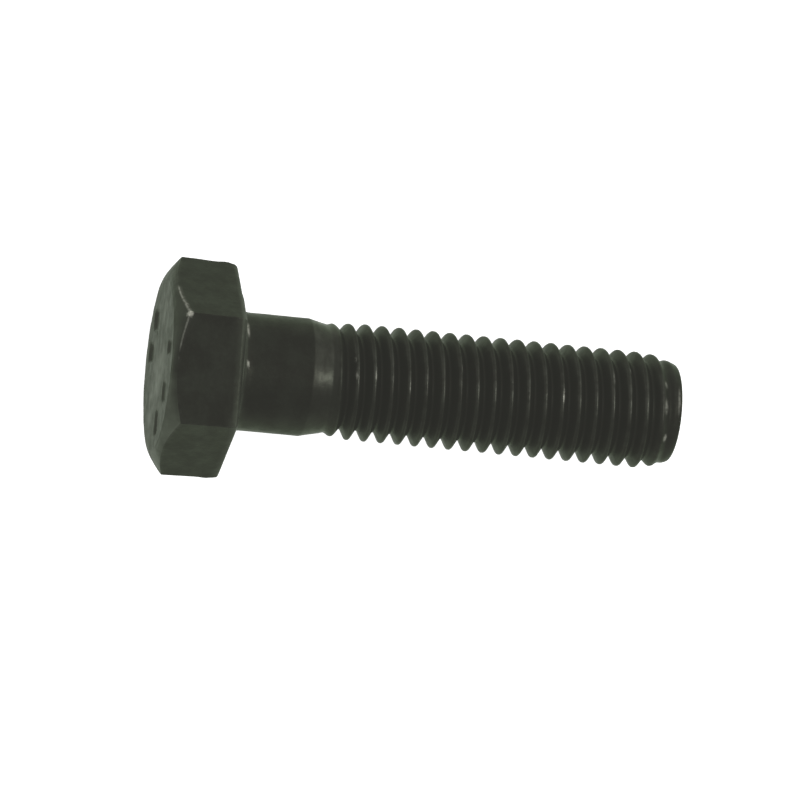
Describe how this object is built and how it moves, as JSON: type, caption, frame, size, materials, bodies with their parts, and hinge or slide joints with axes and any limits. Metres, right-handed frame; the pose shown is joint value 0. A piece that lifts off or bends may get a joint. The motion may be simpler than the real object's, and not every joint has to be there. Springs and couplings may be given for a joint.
{
  "type": "hex bolt",
  "caption": "Partly threaded hexagon-head bolt: head with washer face, plain shank, coarse right-hand rolled thread and tapered tip, in black-finished steel.",
  "frame": {"origin": "centre of the bearing face under the head, on the bolt's axis", "axes": "+X along the axis to the tip, +Z square to one flat of the hexagon, +Y towards a corner of the hexagon"},
  "size_m": [0.0528, 0.022, 0.019],
  "materials": {
    "black_steel": "satin"
  },
  "bodies": {
    "root": {"hex_bolt": "black_steel"}
  },
  "joints": []
}
